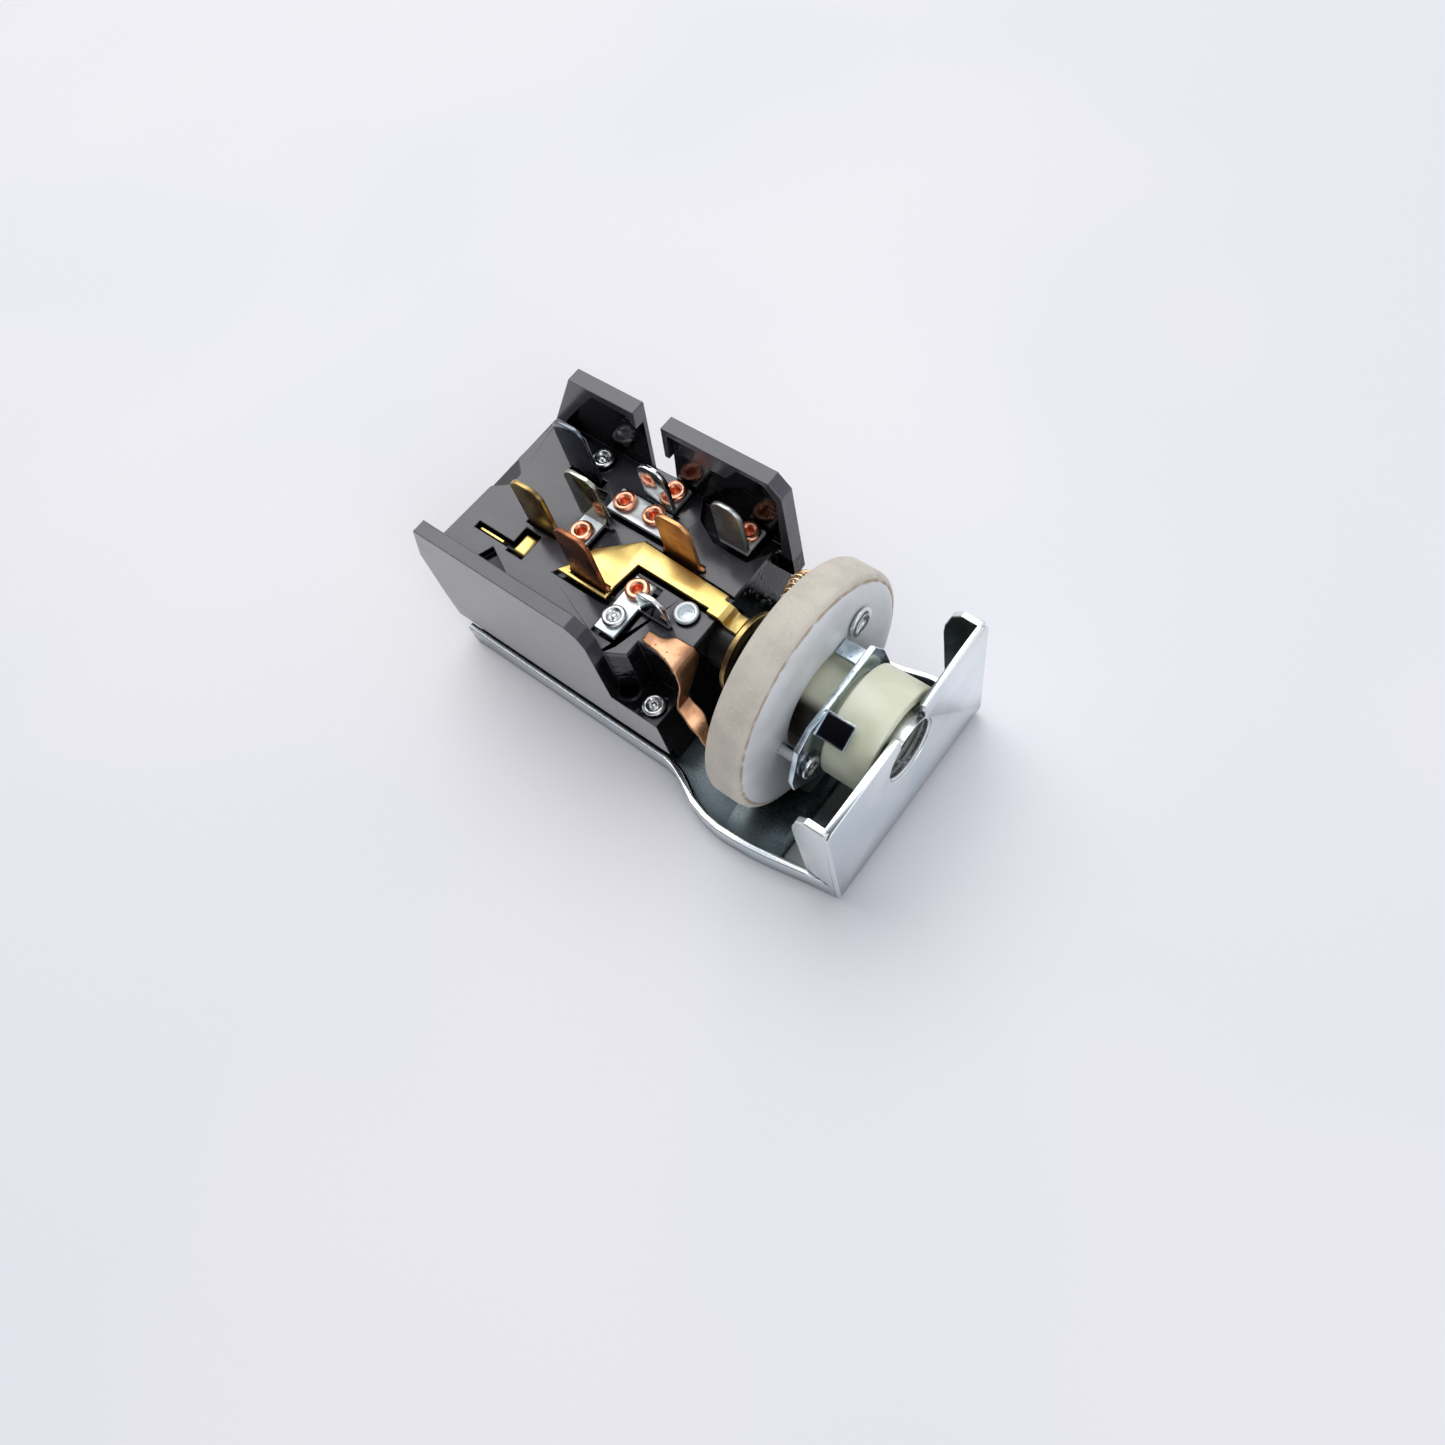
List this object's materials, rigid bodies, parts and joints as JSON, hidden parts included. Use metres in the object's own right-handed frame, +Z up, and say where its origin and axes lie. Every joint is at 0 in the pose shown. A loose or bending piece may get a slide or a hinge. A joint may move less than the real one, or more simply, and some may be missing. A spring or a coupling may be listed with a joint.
{
  "type": "pull-out lighting switch",
  "caption": "Pull-out lighting switch with a rotary dimmer disc, blade terminals on a moulded terminal board, and a pressed steel bracket.",
  "frame": {"origin": "middle of the object's base, on the surface that the bracket's floor lies on", "axes": "+Y runs back from the panel plate along the shaft line, +Z up from the bracket's floor, +X to the side of the release button; the shaft line is at x = 0.00115, z = 0.0204"},
  "size_m": [0.0404, 0.0816, 0.0422],
  "materials": {
    "zinc_steel": "bright zinc plate over pressed sheet, faint blue passivation and fine scratches",
    "black_phenolic": "moulded black phenolic, semi-gloss with faint grain",
    "brown_phenolic": "moulded brown phenolic, matt",
    "ceramic_body": "unglazed steatite, fine speckle on the rim, smoother front edge",
    "natural_nylon": "natural nylon, slightly translucent, satin",
    "brass_sheet": "rolled brass sheet, light tarnish specks",
    "copper_sheet": "copper and copper plate, darker tarnish on the blades",
    "tinned_sheet": "bright tinned sheet with fine handling marks",
    "bright_steel": "plated steel, rolled edges bright, centres dark",
    "resistance_wire": "wound resistance wire, golden brown",
    "red_plastic": "satin moulded plastic"
  },
  "bodies": {
    "frame": {"mounting_bracket": "zinc_steel", "frame_plate": "zinc_steel", "terminal_housing": "black_phenolic", "blade_rear_brass": "brass_sheet", "blade_rear_far": "tinned_sheet", "blade_centre": "tinned_sheet", "blade_bus": "copper_sheet", "blade_middle": "copper_sheet", "blade_far_middle": "tinned_sheet", "blade_far_front": "tinned_sheet", "blade_dimmer": "tinned_sheet", "brass_bus_bar": "brass_sheet", "brass_link": "brass_sheet", "rivet_link": "tinned_sheet", "dimmer_wiper": "copper_sheet", "copper_rivet_1": "copper_sheet", "copper_rivet_2": "copper_sheet", "copper_rivet_3": "copper_sheet", "copper_rivet_4": "copper_sheet", "copper_rivet_5": "copper_sheet", "copper_rivet_6": "copper_sheet", "steel_rivet_1": "bright_steel", "steel_rivet_2": "bright_steel", "steel_rivet_3": "bright_steel", "steel_rivet_4": "bright_steel", "fixed_contact_near_1": "copper_sheet", "fixed_contact_near_2": "copper_sheet", "fixed_contact_far_1": "copper_sheet", "fixed_contact_far_2": "copper_sheet", "breaker_bimetal": "brass_sheet", "breaker_contact": "bright_steel"},
    "dimmer": {"ceramic_disc": "ceramic_body", "drive_hub": "natural_nylon", "driver_plate": "bright_steel", "disc_rivet_1": "bright_steel", "disc_rivet_2": "bright_steel", "resistance_coil": "resistance_wire", "contact_ring": "brass_sheet", "wave_washer": "bright_steel"},
    "carriage": {"slider_carriage": "brown_phenolic", "contact_bridge_near": "copper_sheet", "contact_bridge_far": "copper_sheet", "bridge_spring_near": "bright_steel", "bridge_spring_far": "bright_steel", "shaft_latch": "bright_steel", "detent_ball": "bright_steel", "detent_spring": "bright_steel"},
    "button": {"release_button": "red_plastic", "button_spring": "bright_steel"}
  },
  "joints": [
    {"name": "dimmer_turn", "type": "hinge", "parent": "frame", "child": "dimmer", "pos_m": [0.00115, -0.02615, 0.0204], "axis": [0, 1, 0], "range_deg": [-140, 150]},
    {"name": "carriage_slide", "type": "slide", "parent": "frame", "child": "carriage", "axis": [0, -1, 0], "range_m": [0, 0.012]},
    {"name": "release_press", "type": "slide", "parent": "frame", "child": "button", "axis": [-1, 0, 0], "range_m": [0, 0.0014], "stiffness_N_per_m": 300, "springref_m": -0.001, "deforming": ["button_spring"]}
  ]
}
